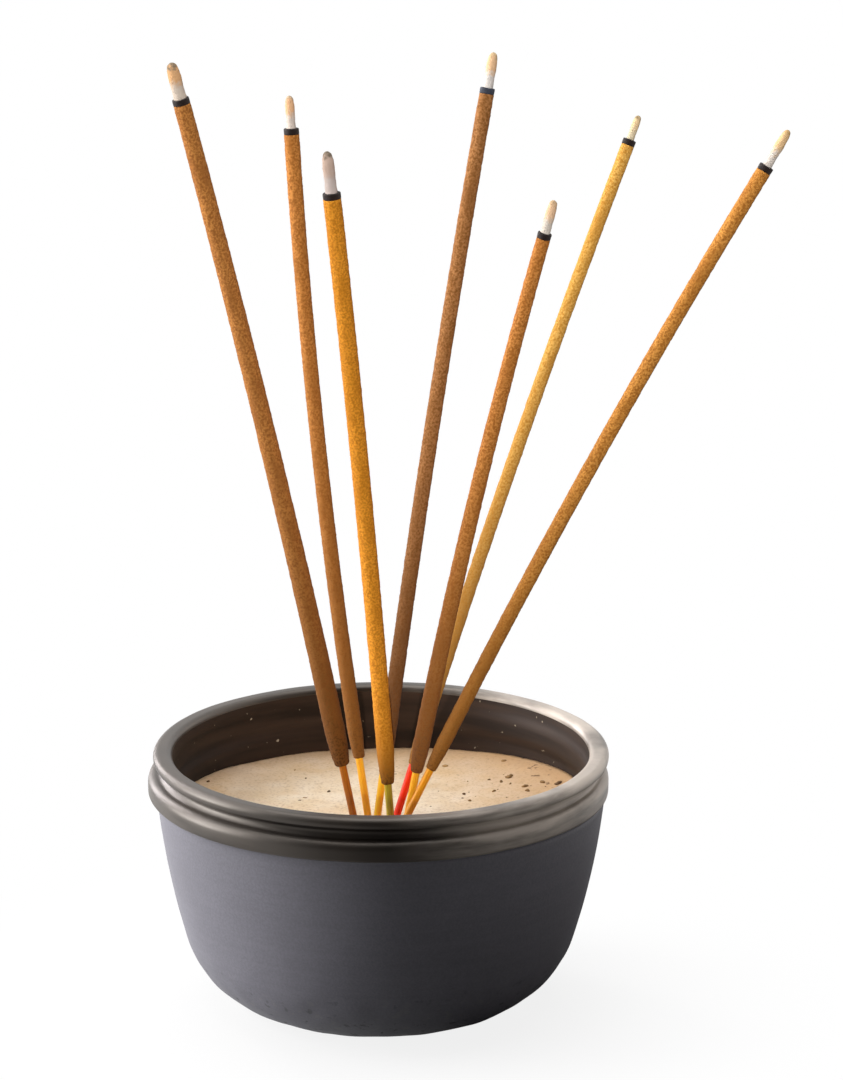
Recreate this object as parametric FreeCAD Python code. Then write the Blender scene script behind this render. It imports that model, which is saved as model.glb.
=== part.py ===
import FreeCAD, Part
import math
import os

from FreeCAD import Placement, Rotation, Vector

# A bowl incense burner: a one-piece stoneware bowl, a bed of ash in it, and seven part-burnt
# incense sticks that stand in the ash and pull straight out of it.
# Lengths are in millimetres and angles in degrees. The origin is the middle of the foot on the table,
# +Z is up, and the front of the bowl faces -Y.

# Bowl, in radial and upright steps that stack from the lip outwards and from the table upwards
lip_diameter = 91.0
lip_width = 3.8            # across the flattened roll of the lip
lip_round = 1.25           # radius of the roll's two sides
neck_depth = 1.85          # how far the groove under the lip lies inside the lip
neck_height = 2.33
collar_reach = 0.5         # how far the collar stands outside the lip
collar_height = 4.1
collar_top_round = 1.8
collar_edge_round = 0.4
shoulder_step = 1.15       # how far the body is set back under the collar
flank_height = 29.9        # from the belly's turn up to the collar
flank_slope = 4.8          # lean of the flank just under the collar
belly_inset = 5.8          # how far the turn of the belly lies inside the shoulder
belly_height = 14.2
wall = 3.3
floor = 4.2
foot_land = 4.0            # width of the ring that the bowl stands on
foot_recess = 1.0

# Ash
ash_below_lip = 13.4       # from the top of the lip down to the ash in the middle
ash_rise = 1.2             # how much higher the ash lies against the wall

# Incense sticks
core_diameter = 1.5        # bamboo splint
core_bedding = 26.0        # length of splint that stands in the ash
socket_clearance = 0.05    # between the splint and the hole that it leaves in the ash
straight_foot = 3.0        # length at the foot of the paste that the stick's bend leaves straight
coat_foot_taper = 8.0      # length over which the paste thins towards its foot
coat_foot_share = 0.72     # width of the paste's blunt foot as a share of its full width
coat_foot_rings = 4        # rings along the thinning foot
coat_bend_rings = 6        # rings along the rest of the paste
char_height = 1.2          # the charred band just under the burnt end
char_edge = 0.2            # bevel along the band's two rims
tip_taper = 0.3            # how much the ash tip narrows on each side towards its end

# Each stick from left to right: where its axis enters the ash, how far it leans and towards which side,
# the sag of its coated length, the bare splint above the ash, the height of the paste along the stick,
# the diameter of the paste above its thin foot and at its burning end, and the ash tip that still
# stands on it
sticks = [
    dict(x=-5.1, y=-4.5, lean=11.9, heading=201.4, sag=0.8, bare=11.8, paste=138.1,
         full_diameter=4.1, end_diameter=3.3, tip_length=7.1, tip_diameter=2.6),
    dict(x=-2.3, y=-3.5, lean=10.0, heading=146.0, sag=-1.6, bare=12.1, paste=125.2,
         full_diameter=3.0, end_diameter=3.0, tip_length=6.4, tip_diameter=1.9),
    dict(x=2.5, y=-13.3, lean=4.5, heading=204.2, sag=0.5, bare=10.3, paste=118.4,
         full_diameter=3.4, end_diameter=3.5, tip_length=8.1, tip_diameter=2.4),
    dict(x=-0.5, y=-6.2, lean=9.5, heading=38.6, sag=0.9, bare=10.8, paste=135.1,
         full_diameter=3.1, end_diameter=2.9, tip_length=7.0, tip_diameter=2.1),
    dict(x=5.2, y=-10.5, lean=10.8, heading=-16.4, sag=1.1, bare=12.1, paste=111.5,
         full_diameter=3.3, end_diameter=2.7, tip_length=6.6, tip_diameter=2.0),
    dict(x=2.9, y=-8.9, lean=19.6, heading=27.5, sag=1.1, bare=12.7, paste=129.5,
         full_diameter=2.6, end_diameter=2.6, tip_length=5.0, tip_diameter=1.6),
    dict(x=3.5, y=-15.9, lean=26.2, heading=6.8, sag=1.4, bare=15.2, paste=134.2,
         full_diameter=2.8, end_diameter=2.9, tip_length=8.0, tip_diameter=1.9),
]

# Radii and heights that follow from the sizes above
lip_radius = lip_diameter / 2
mouth_radius = lip_radius - lip_width
neck_radius = lip_radius - neck_depth
collar_radius = lip_radius + collar_reach
shoulder_radius = collar_radius - shoulder_step
core_radius = core_diameter / 2
collar_underside = belly_height + flank_height
collar_top = collar_underside + collar_height
neck_top = collar_top + neck_height
half_corner = math.sqrt(0.5)
lip_height = neck_top + lip_round * half_corner
bowl_height = lip_height + lip_round
ash_level = bowl_height - ash_below_lip

up = Vector(0, 0, 1)
outward = Vector(1, 0, 0)


def on_profile(radius, height):
    """A point of a turned profile, which is drawn in the XZ plane."""
    return Vector(radius, 0, height)


def line(start, end):
    return Part.LineSegment(start, end).toShape()


def arc(start, middle, end):
    return Part.Arc(start, middle, end).toShape()


def corner_arc(start, end, corner):
    """The quarter circle from start to end that rounds the given corner."""
    centre = start + end - corner
    return arc(start, centre + (corner - centre) * half_corner, end)


def arc_leaving(start, direction, end):
    """The arc that leaves start along direction and ends at end, with its direction there."""
    chord = end - start
    along = Vector(chord).normalize()
    turn = direction.getAngle(along)
    aside = (direction - along * direction.dot(along)).normalize()
    middle = (start + end) * 0.5 + aside * (chord.Length / 2 * math.tan(turn / 2))
    arrival = along * (2 * direction.dot(along)) - direction
    return arc(start, middle, end), arrival


def turn_to_level(start, direction, level):
    """The arc that leaves start downwards along direction and runs out level at the given height."""
    radius = (start.z - level) / (1 + direction.x)
    end = on_profile(start.x + radius * direction.z, level)
    return arc_leaving(start, direction, end)[0], end


def turned(edges):
    """The solid that a closed profile sweeps round the upright axis."""
    face = Part.Face(Part.Wire(edges))
    return face.revolve(Vector(0, 0, 0), up, 360)


def flank(set_in):
    """The side of the bowl from the shoulder to the belly, set in from the outer face along its normals."""
    slope = math.radians(flank_slope)
    leaving = Vector(-math.sin(slope), 0, -math.cos(slope))
    shoulder = on_profile(shoulder_radius, collar_underside)
    belly = on_profile(shoulder_radius - belly_inset, belly_height)
    arriving = arc_leaving(shoulder, leaving, belly)[1]
    start = shoulder + Vector(leaving.z, 0, -leaving.x) * set_in
    end = belly + Vector(arriving.z, 0, -arriving.x) * set_in
    return start, arc_leaving(start, leaving, end)[0], end, arriving


def inside_profile():
    """The edges of the bowl's hollow, from the lip's inner side down to the middle of the floor."""
    lip_inside = on_profile(mouth_radius, lip_height)
    start, side, end, arriving = flank(wall)
    bottom, floor_edge = turn_to_level(end, arriving, floor)
    return [line(lip_inside, start), side, bottom, line(floor_edge, on_profile(0, floor))]


def rim_profile():
    """The edges of collar, neck and lip, from the shoulder up and over to the lip's inner side."""
    face_low = on_profile(collar_radius, collar_underside + collar_edge_round)
    face_high = on_profile(collar_radius, collar_top - collar_top_round)
    under = on_profile(collar_radius - collar_edge_round, collar_underside)
    shelf = on_profile(collar_radius - collar_top_round, collar_top)
    roll_outside = on_profile(lip_radius - lip_round, lip_height)
    roll_inside = on_profile(mouth_radius + lip_round, lip_height)
    lip_under = roll_outside + (outward - up) * (lip_round * half_corner)
    lip_inside = on_profile(mouth_radius, lip_height)
    crown = up * lip_round
    return [
        line(on_profile(shoulder_radius, collar_underside), under),
        corner_arc(under, face_low, on_profile(collar_radius, collar_underside)),
        line(face_low, face_high),
        corner_arc(face_high, shelf, on_profile(collar_radius, collar_top)),
        arc(shelf, on_profile(neck_radius, collar_top + neck_height / 2), lip_under),
        arc(lip_under, on_profile(lip_radius, lip_height), roll_outside + crown),
        line(roll_outside + crown, roll_inside + crown),
        corner_arc(roll_inside + crown, lip_inside, lip_inside + crown),
    ]


def bowl():
    """The stoneware bowl: foot ring, belly, flank, collar, neck, rolled lip and hollow."""
    side, belly, arriving = flank(0)[1:]
    bottom, foot_edge = turn_to_level(belly, arriving, 0)
    recess_edge = foot_edge - outward * foot_land
    foot = [
        line(on_profile(0, foot_recess), recess_edge + up * foot_recess),
        line(recess_edge + up * foot_recess, recess_edge),
        line(recess_edge, foot_edge),
    ]
    axis = line(on_profile(0, floor), on_profile(0, foot_recess))
    return turned(foot + [bottom, side] + rim_profile() + inside_profile() + [axis])


def ash_bed():
    """The ash, which fills the bowl's hollow up to its dished top and has a hole for each splint."""
    mouth = on_profile(mouth_radius, lip_height)
    mouth_centre = on_profile(0, lip_height)
    hollow = turned(inside_profile() + [line(on_profile(0, floor), mouth_centre), line(mouth_centre, mouth)])
    base_centre = on_profile(0, 0)
    middle = on_profile(0, ash_level)
    edge = on_profile(collar_radius, ash_level + ash_rise)
    edge_foot = on_profile(collar_radius, 0)
    dish = arc_leaving(middle, outward, edge)[0]
    level = turned([dish, line(edge, edge_foot), line(edge_foot, base_centre), line(base_centre, middle)])
    bed = hollow.common(level)
    for stick in sticks:
        hole = Part.makeCylinder(core_radius + socket_clearance, core_bedding + stick["bare"],
                                 -up * core_bedding)
        bed = bed.cut(standing(stick, hole))
    return bed


def standing(stick, shape):
    """The shape, drawn along the stick's own upright axis, in its place in the ash."""
    lean = Rotation(Vector(0, 1, 0), stick["lean"])
    heading = Rotation(up, stick["heading"])
    shape.Placement = Placement(Vector(stick["x"], stick["y"], ash_level), heading * lean)
    return shape


def on_stick(stick, distance):
    """The point of the centre line at a distance above the ash, and the way the stick points there."""
    straight = stick["bare"] + straight_foot
    bent = stick["paste"] - straight_foot
    radius = bent ** 2 / (8 * stick["sag"])
    turn = min(max(distance - straight, 0), bent) / radius
    beyond = max(distance - straight - bent, 0)
    pointing = Vector(math.sin(turn), 0, math.cos(turn))
    bow = Vector(radius * (1 - math.cos(turn)), 0, radius * math.sin(turn))
    return up * min(distance, straight) + bow + pointing * beyond, pointing


def burnt_end(stick):
    """Where the paste ends under the charred band, and the way the stick points there."""
    return on_stick(stick, stick["bare"] + stick["paste"])


def bamboo_core(stick):
    """The bamboo splint, from its lower end in the ash to the top of the charred band."""
    lower_end = -up * core_bedding
    bend_start = stick["bare"] + straight_foot
    bend_end = stick["bare"] + stick["paste"]
    start = on_stick(stick, bend_start)[0]
    middle = on_stick(stick, (bend_start + bend_end) / 2)[0]
    end = on_stick(stick, bend_end)[0]
    top = on_stick(stick, bend_end + char_height)[0]
    centre_line = Part.Wire([line(lower_end, start), arc(start, middle, end), line(end, top)])
    section = Part.Wire(Part.makeCircle(core_radius, lower_end, up))
    return centre_line.makePipeShell([section], True, False)


def incense_coat(stick):
    """The incense paste rolled on the splint: a thin, blunt foot, then a slight taper along the bend."""
    full_radius = stick["full_diameter"] / 2
    end_radius = stick["end_diameter"] / 2
    rings = []
    for step in range(coat_foot_rings):
        share = step / coat_foot_rings
        width_share = coat_foot_share + (1 - coat_foot_share) * math.sin(share * math.pi / 2)
        rings.append((stick["bare"] + share * coat_foot_taper, full_radius * width_share))
    for step in range(coat_bend_rings + 1):
        share = step / coat_bend_rings
        height = coat_foot_taper + share * (stick["paste"] - coat_foot_taper)
        rings.append((stick["bare"] + height, full_radius + share * (end_radius - full_radius)))
    sections = []
    for distance, radius in rings:
        centre, pointing = on_stick(stick, distance)
        sections.append(Part.Wire(Part.makeCircle(radius, centre, pointing)))
    return Part.makeLoft(sections, True, True).cut(bamboo_core(stick))


def char_ring(stick):
    """The charred band at the upper end of the paste."""
    end, pointing = burnt_end(stick)
    band = Part.makeCylinder(stick["end_diameter"] / 2, char_height, end, pointing)
    rims = [edge for edge in band.Edges if len(edge.Vertexes) == 1]
    return band.makeChamfer(char_edge, rims).cut(bamboo_core(stick))


def ash_tip(stick):
    """The finger of ash that still stands on the burnt end, narrower and rounded at its tip."""
    end, pointing = burnt_end(stick)
    base_radius = stick["tip_diameter"] / 2
    end_radius = base_radius - tip_taper
    crown = stick["tip_length"]
    base_edge = on_profile(base_radius, 0)
    side_top = on_profile(end_radius, crown - end_radius)
    dome = corner_arc(side_top, on_profile(0, crown), on_profile(end_radius, crown))
    axis = line(on_profile(0, crown), on_profile(0, 0))
    tip = turned([line(on_profile(0, 0), base_edge), line(base_edge, side_top), dome, axis])
    tip.Placement = Placement(end + pointing * char_height, Rotation(up, pointing))
    return tip


def write(shape, node):
    shape.exportStep("parts/" + node + ".step")


os.makedirs("parts", exist_ok=True)
write(bowl(), "bowl")
write(ash_bed(), "ash_bed")
for number, stick in enumerate(sticks, start=1):
    for piece in (bamboo_core, incense_coat, char_ring, ash_tip):
        shape = piece(stick)
        placed = standing(stick, Part.makeCompound([shape]))
        write(placed.Solids[0], "stick_%d_%s" % (number, piece.__name__))
print("bowl height %.1f, ash level %.1f" % (bowl_height, ash_level))
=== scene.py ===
# %% [markdown]
# # A bowl incense burner with seven sticks of incense
# The object is a small turned stoneware bowl, filled with ash to a little under its rim, in which seven
# part-burnt incense sticks stand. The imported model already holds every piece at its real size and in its
# place, so this script only dresses it: each piece is modelled again with the surface that the real one
# shows, takes the place of its plain solid and rides on the same body. Everything is in metres, in that
# frame.

# %% Load the frame
import math
import random

import bmesh
import bpy
from mathutils import Matrix, Vector, noise


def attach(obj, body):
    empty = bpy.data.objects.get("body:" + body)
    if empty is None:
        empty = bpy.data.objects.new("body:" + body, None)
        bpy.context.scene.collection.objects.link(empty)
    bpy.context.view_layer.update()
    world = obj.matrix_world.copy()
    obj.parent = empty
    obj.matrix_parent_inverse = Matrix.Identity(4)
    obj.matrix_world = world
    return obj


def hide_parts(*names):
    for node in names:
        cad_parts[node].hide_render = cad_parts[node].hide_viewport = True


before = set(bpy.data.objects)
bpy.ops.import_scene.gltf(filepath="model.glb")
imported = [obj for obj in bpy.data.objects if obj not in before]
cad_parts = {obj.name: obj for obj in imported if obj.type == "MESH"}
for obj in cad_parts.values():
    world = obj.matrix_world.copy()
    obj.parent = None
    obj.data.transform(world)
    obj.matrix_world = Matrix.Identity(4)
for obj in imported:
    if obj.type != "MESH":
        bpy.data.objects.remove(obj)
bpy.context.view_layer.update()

print("solids to dress:", len(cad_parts))

# %% [markdown]
# ## Colours, nodes and real sizes
# A colour chart gives sRGB hex values, while shaders work with linear light, so one function converts
# them. A second function adds any node with its settings, values and links, which lets each finish read
# like a recipe. Patterns are scaled from real sizes: a texture whose scale is one over a length
# repeats about once in that length.

# %% Helpers for the finishes
mm = 0.001


def linear(hex_colour):
    """The linear colour, with full alpha, of an sRGB hex value."""
    shares = [int(hex_colour[at:at + 2], 16) / 255 for at in (1, 3, 5)]
    return [s / 12.92 if s <= 0.04045 else ((s + 0.055) / 1.055) ** 2.4 for s in shares] + [1.0]


def every(length):
    """The texture scale that repeats about once in this length."""
    return 1 / length


def add(tree, kind, values=None, links=None, **settings):
    """Add a node: settings are its options, values fill its sockets and links feed them."""
    made = tree.nodes.new("ShaderNode" + kind)
    for option, value in settings.items():
        setattr(made, option, value)
    for socket, value in (values or {}).items():
        made.inputs[socket].default_value = value
    for socket, source in (links or {}).items():
        tree.links.new(source, made.inputs[socket])
    return made


def new_finish(name):
    """An empty material, with its node tree and its shader."""
    material = bpy.data.materials.new(name)
    material.use_nodes = True
    return material, material.node_tree, material.node_tree.nodes["Principled BSDF"]


print("one pattern repeat in 0.5 mm is a scale of", every(0.5 * mm))

# %% [markdown]
# ## The slip on the outside of the bowl
# The body of the bowl is covered with a slate-black slip, a thin coat of coloured clay that was wiped on
# while the bowl turned and then fired. It has no mirror image, but a broad satin sheen that turns its lit
# side pale: a rough surface with a rather high index gives that. Close up it has soft clouds, faint lines
# that run round the bowl, a fine clay grain and, low down where it is handled and set down, small pits
# and rubbed paler spots. All of that is noise at different sizes, so it never repeats.

# %% Satin slate slip
def satin_slate_slip():
    """Fired slip: dark clay under a rough satin skin, pitted and rubbed low down."""
    material, tree, shader = new_finish("satin_slate_slip")
    place = add(tree, "TexCoord").outputs["Object"]
    clouds = add(tree, "TexNoise", {"Scale": every(17 * mm), "Detail": 5.0}, {"Vector": place})
    clouded = add(tree, "Mix", {6: linear("#716f78"), 7: linear("#82808a")},
                  {0: clouds.outputs["Fac"]}, data_type="RGBA")
    # Squeezed upright, the noise turns into the lines that the wiping sponge left round the bowl.
    squeeze = add(tree, "Mapping", {"Scale": (every(26 * mm), every(26 * mm), every(1.1 * mm))},
                  {"Vector": place})
    lines = add(tree, "TexNoise", {"Scale": 1.0, "Detail": 2.0}, {"Vector": squeeze.outputs["Vector"]})
    grain = add(tree, "TexNoise", {"Scale": every(0.45 * mm), "Detail": 2.0}, {"Vector": place})
    mottle = add(tree, "Math", {1: 0.35}, {0: lines.outputs["Fac"], 2: grain.outputs["Fac"]},
                 operation="MULTIPLY_ADD")
    shade = add(tree, "MapRange", {"From Min": 0.5, "From Max": 0.85, "To Max": 0.3},
                {"Value": mottle.outputs["Value"]})
    grained = add(tree, "Mix", {7: linear("#55535b")},
                  {0: shade.outputs["Result"], 6: clouded.outputs[2]}, data_type="RGBA")
    # Pits and rubbed spots gather where the wall turns under.
    height = add(tree, "SeparateXYZ", links={"Vector": place}).outputs["Z"]
    low = add(tree, "MapRange", {"From Min": 16 * mm, "From Max": 5 * mm}, {"Value": height})
    pores = add(tree, "TexNoise", {"Scale": every(2.4 * mm), "Detail": 3.0}, {"Vector": place})
    pitted = add(tree, "MapRange", {"From Min": 0.62, "From Max": 0.7}, {"Value": pores.outputs["Fac"]})
    pits = add(tree, "Math", links={0: pitted.outputs["Result"], 1: low.outputs["Result"]},
               operation="MULTIPLY")
    rubbing = add(tree, "MapRange", {"From Min": 0.4, "From Max": 0.33, "To Max": 0.5},
                  {"Value": pores.outputs["Fac"]})
    rubs = add(tree, "Math", links={0: rubbing.outputs["Result"], 1: low.outputs["Result"]},
               operation="MULTIPLY")
    rubbed = add(tree, "Mix", {7: linear("#8d8b8a")}, {0: rubs.outputs["Value"], 6: grained.outputs[2]},
                 data_type="RGBA")
    colour = add(tree, "Mix", {7: linear("#2a292d")}, {0: pits.outputs["Value"], 6: rubbed.outputs[2]},
                 data_type="RGBA")
    relief = add(tree, "Math", links={0: mottle.outputs["Value"], 1: pits.outputs["Value"]},
                 operation="SUBTRACT")
    bump = add(tree, "Bump", {"Strength": 0.3, "Distance": 0.1 * mm}, {"Height": relief.outputs["Value"]})
    dullness = add(tree, "MapRange", {"To Min": 0.48, "To Max": 0.62}, {"Value": clouds.outputs["Fac"]})
    tree.links.new(colour.outputs[2], shader.inputs["Base Color"])
    tree.links.new(dullness.outputs["Result"], shader.inputs["Roughness"])
    tree.links.new(bump.outputs["Normal"], shader.inputs["Normal"])
    shader.inputs["IOR"].default_value = 1.6
    return material


slip = satin_slate_slip()
print("finish:", slip.name)

# %% [markdown]
# ## The glaze on the rim
# Lip, neck and collar carry an iron-black glaze, a layer of dark glass melted on to the clay. So much iron
# raises its index, so it mirrors the pale room at its sides, though handling has turned that mirror image
# into a broad sheen. A paler film lies on it at the sides, faint on the left, thickest on the right and left
# off the front: it is partly ash dust from the sticks that lean over the rim, and partly a painted sheen
# that stands in for the pale room mirrored at the sides. The film is a noise that is drawn out round the
# rim, as a wiping finger leaves it.

# %% Iron-black glaze
def iron_black_glaze():
    """Dark glass over clay: a smooth dielectric, dulled by a film of dust and a painted sheen at the sides.
    """
    material, tree, shader = new_finish("iron_black_glaze")
    place = add(tree, "TexCoord").outputs["Object"]
    pool = add(tree, "TexNoise", {"Scale": every(9 * mm), "Detail": 4.0}, {"Vector": place})
    thin = add(tree, "MapRange", {"From Min": 0.35, "From Max": 0.75}, {"Value": pool.outputs["Fac"]})
    melt = add(tree, "Mix", {6: linear("#15110f"), 7: linear("#241d17")}, {0: thin.outputs["Result"]},
               data_type="RGBA")
    squeeze = add(tree, "Mapping", {"Scale": (every(24 * mm), every(24 * mm), every(3 * mm))},
                  {"Vector": place})
    wiped = add(tree, "TexNoise", {"Scale": 1.0, "Detail": 5.0}, {"Vector": squeeze.outputs["Vector"]})
    film = add(tree, "MapRange", {"From Min": 0.25, "From Max": 0.5}, {"Value": wiped.outputs["Fac"]})
    # How much paler film each side gets: partly ash dust and partly a painted sheen for the mirrored pale
    # room, faint on the left, strong on the right, none at the front.
    side = add(tree, "SeparateXYZ", links={"Vector": place}).outputs["X"]
    on_left = add(tree, "MapRange", {"From Min": -10 * mm, "From Max": -34 * mm, "To Max": 0.06},
                  {"Value": side})
    on_right = add(tree, "MapRange", {"From Min": 1 * mm, "From Max": 27 * mm, "To Max": 0.8},
                   {"Value": side}, interpolation_type="SMOOTHSTEP")
    sheen_and_dust_sides = add(tree, "Math", links={0: on_left.outputs["Result"], 1: on_right.outputs["Result"]},
                operation="MAXIMUM")
    sheen_and_dust = add(tree, "Math", links={0: film.outputs["Result"], 1: sheen_and_dust_sides.outputs["Value"]},
               operation="MULTIPLY")
    # The pale colour of that film: partly dust, partly painted sheen.
    colour = add(tree, "Mix", {7: linear("#d8ccc0")}, {0: sheen_and_dust.outputs["Value"], 6: melt.outputs[2]},
                 data_type="RGBA")
    haze = add(tree, "MapRange", {"From Min": 0.3, "From Max": 0.8, "To Min": 0.36, "To Max": 0.5},
               {"Value": wiped.outputs["Fac"]})
    ripple = add(tree, "TexNoise", {"Scale": every(5 * mm), "Detail": 1.0}, {"Vector": place})
    bump = add(tree, "Bump", {"Strength": 0.3, "Distance": 0.06 * mm}, {"Height": ripple.outputs["Fac"]})
    tree.links.new(colour.outputs[2], shader.inputs["Base Color"])
    tree.links.new(haze.outputs["Result"], shader.inputs["Roughness"])
    tree.links.new(bump.outputs["Normal"], shader.inputs["Normal"])
    shader.inputs["IOR"].default_value = 1.62
    shader.inputs["Specular Tint"].default_value = linear("#fdf0e4")
    return material


glaze = iron_black_glaze()
print("finish:", glaze.name)

# %% [markdown]
# ## The smoked wall inside
# The same glaze goes down inside the bowl, but there the smoke of many sticks has left a matte brown film
# with faint streaks round the wall, and specks of ash cling to it. A second finish is clearer here than
# one that changes with the radius: it is rougher, has the index of soot and glass, and its flecks are the
# peaks of a small noise.

# %% Smoked glaze
def smoked_glaze():
    """Glaze under a film of smoke: matte brown-black, streaked round the wall, with flecks of ash."""
    material, tree, shader = new_finish("smoked_glaze")
    place = add(tree, "TexCoord").outputs["Object"]
    squeeze = add(tree, "Mapping", {"Scale": (every(30 * mm), every(30 * mm), every(2.5 * mm))},
                  {"Vector": place})
    streaks = add(tree, "TexNoise", {"Scale": 1.0, "Detail": 4.0}, {"Vector": squeeze.outputs["Vector"]})
    span = add(tree, "MapRange", {"From Min": 0.35, "From Max": 0.7}, {"Value": streaks.outputs["Fac"]})
    smoke = add(tree, "Mix", {6: linear("#1d130e"), 7: linear("#35261d")}, {0: span.outputs["Result"]},
                data_type="RGBA")
    specks = add(tree, "TexNoise", {"Scale": every(1.2 * mm), "Detail": 1.0}, {"Vector": place})
    fleck = add(tree, "MapRange", {"From Min": 0.75, "From Max": 0.82, "To Max": 0.7},
                {"Value": specks.outputs["Fac"]})
    colour = add(tree, "Mix", {7: linear("#b5a690")}, {0: fleck.outputs["Result"], 6: smoke.outputs[2]},
                 data_type="RGBA")
    dullness = add(tree, "MapRange", {"To Min": 0.62, "To Max": 0.52}, {"Value": streaks.outputs["Fac"]})
    bump = add(tree, "Bump", {"Strength": 0.4, "Distance": 0.1 * mm}, {"Height": fleck.outputs["Result"]})
    tree.links.new(colour.outputs[2], shader.inputs["Base Color"])
    tree.links.new(dullness.outputs["Result"], shader.inputs["Roughness"])
    tree.links.new(bump.outputs["Normal"], shader.inputs["Normal"])
    shader.inputs["IOR"].default_value = 1.36
    return material


smoked = smoked_glaze()
print("finish:", smoked.name)

# %% [markdown]
# ## Drawing and turning an outline
# A thrown bowl is a solid of revolution, so its half outline is drawn once and spun round the upright
# axis, as a potter's template would shape it. Each stretch of the outline is a straight line or an arc,
# given by where it ends and by how far it turns. The pen is a single vertex that is extruded step by step,
# moved along a line or turned about an arc's centre, so no point of a curve is worked out by hand.

# %% Outline and lathe
widest_turn = 12
turn_slices = 8


def draw_outline(bm, start, stretches, row):
    """Draw stretches of (radius, height, turn in degrees) from start, in rows about so long.
    A stretch may name a row length of its own as a fourth number."""
    pen = bm.verts.new((start[0], 0, start[1]))
    drawn = [pen]
    for radius, height, turn, *own_row in stretches:
        chord = Vector((radius, 0, height)) - pen.co
        steps = max(math.ceil(chord.length / (own_row or [row])[0]), math.ceil(abs(turn) / widest_turn))
        if turn:
            angle = math.radians(turn)
            aside = Vector((-chord.z, 0, chord.x))
            centre = pen.co + chord / 2 + aside / (2 * math.tan(angle / 2))
            swing = Matrix.Rotation(-angle / steps, 3, "Y")
        for _ in range(steps):
            pen = bmesh.ops.extrude_vert_indiv(bm, verts=[pen])["verts"][0]
            if turn:
                bmesh.ops.rotate(bm, verts=[pen], cent=centre, matrix=swing)
            else:
                bmesh.ops.translate(bm, verts=[pen], vec=chord / steps)
            drawn += [pen, pen.link_edges[0]]
    return drawn


def spin_round(bm, outline, steps, material_index=0):
    """Spin an outline through one slice of a turn, then spin copies of that slice all the way round."""
    slice_turn = math.tau / turn_slices
    axis = dict(cent=(0, 0, 0), axis=(0, 0, 1))
    earlier = set(bm.faces)
    bmesh.ops.spin(bm, geom=outline, angle=slice_turn, steps=steps // turn_slices, **axis)
    slice_faces = [face for face in bm.faces if face not in earlier]
    slice_parts = set(slice_faces)
    for face in slice_faces:
        face.material_index = material_index
        slice_parts.update(face.verts, face.edges)
    bmesh.ops.spin(bm, geom=list(slice_parts), angle=math.tau - slice_turn, steps=turn_slices - 1,
                   use_duplicate=True, **axis)


def close_up(bm):
    """Merge the seams and poles of a turned piece, and turn its faces outwards."""
    bmesh.ops.remove_doubles(bm, verts=bm.verts, dist=0.0005 * mm)
    bmesh.ops.recalc_face_normals(bm, faces=bm.faces)


def finished_piece(name, bm, *materials):
    """The object that a bmesh makes, smooth, at the origin, with its materials."""
    for face in bm.faces:
        face.smooth = True
    mesh = bpy.data.meshes.new(name)
    bm.to_mesh(mesh)
    bm.free()
    for material in materials:
        mesh.materials.append(material)
    piece = bpy.data.objects.new(name, mesh)
    bpy.context.scene.collection.objects.link(piece)
    print(name, "has", len(mesh.polygons), "faces")
    return piece


print("round pieces are spun in", turn_slices, "slices")

# %% [markdown]
# ## The bowl
# From the table up: a foot ring with a shallow recess, a belly that turns up in one arc, a flank that
# leans out a little, then the collar, the groove of the neck and the rolled lip, and down the inside to
# the floor. Each of the three stretches is spun with its own finish: slip up to the collar, glaze over the
# rim and smoked glaze inside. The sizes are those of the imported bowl.

# %% Outline of the bowl
lip_radius = 45.5 * mm
mouth_radius = 41.7 * mm
lip_round = 1.25 * mm
collar_radius = 46 * mm
shoulder = (44.85 * mm, 44.1 * mm)
belly = (39.05 * mm, 14.2 * mm)
foot_edge = 19.81 * mm
foot_inside = 15.81 * mm
foot_recess = 1 * mm
belly_turn = 72.84
flank_turn = 12.36
wall_top = (41.56 * mm, 44.38 * mm)
wall_low = (35.9 * mm, 15.17 * mm)
floor_edge = 21.03 * mm
floor_height = 4.2 * mm
collar_top = 48.2 * mm
collar_shelf = 44.2 * mm
lip_under = (45.13 * mm, 50.53 * mm)
lip_height = 51.41 * mm
lip_top = lip_height + lip_round

outside = [
    (foot_inside, foot_recess, 0),
    (foot_inside, 0, 0),
    (foot_edge, 0, 0),
    (*belly, belly_turn),
    (*shoulder, flank_turn),
]
rim = [
    (45.6 * mm, shoulder[1], 0),
    (collar_radius, 44.5 * mm, 90),
    (collar_radius, 46.4 * mm, 0),
    (collar_shelf, collar_top, 90),
    (*lip_under, -154),
    (lip_radius - lip_round, lip_top, 135),
    (mouth_radius + lip_round, lip_top, 0),
    (mouth_radius, lip_height, 90),
]
inside = [
    (*wall_top, 0),
    (*wall_low, -flank_turn),
    (floor_edge, floor_height, -belly_turn),
    (0, floor_height, 0),
]
print("bowl outline has", len(outside) + len(rim) + len(inside), "stretches")

# %% [markdown]
# ## The marks of the hand
# No bowl leaves a potter's hands perfectly true. The wall of this one stands a third of a millimetre to
# one side of its foot, the collar half a millimetre to the other side of the wall, the wall waves slightly
# and the turn of the belly is knocked about by years of use. A sculpting brush could do that, but here a
# smooth noise moves each vertex along its normal, more strongly low down, and the shifts to the side
# are eased in and out with the height.

# %% Make the bowl
bowl_shift = 0.3 * mm
collar_shift = -0.5 * mm
bowl_steps = 224
flat_foot = 0.5 * mm
wave_width = 19 * mm
wave_depth = 0.14 * mm
knock_width = 5 * mm
knock_depth = 0.03 * mm
worn_depth = 0.16 * mm


def ease(value, low, high):
    """0 below low, 1 above high, and smooth between them."""
    share = min(max((value - low) / (high - low), 0), 1)
    return share * share * (3 - 2 * share)


def set_rim(point):
    """A point of the bowl, or of what lies in it, moved aside as wall and collar are."""
    on_collar = ease(point.z, 43.6 * mm, 44.4 * mm) - ease(point.z, 47.6 * mm, 49.6 * mm)
    aside = bowl_shift * ease(point.z, 5 * mm, 38 * mm) + collar_shift * on_collar
    return point + Vector((aside, 0, 0))


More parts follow.
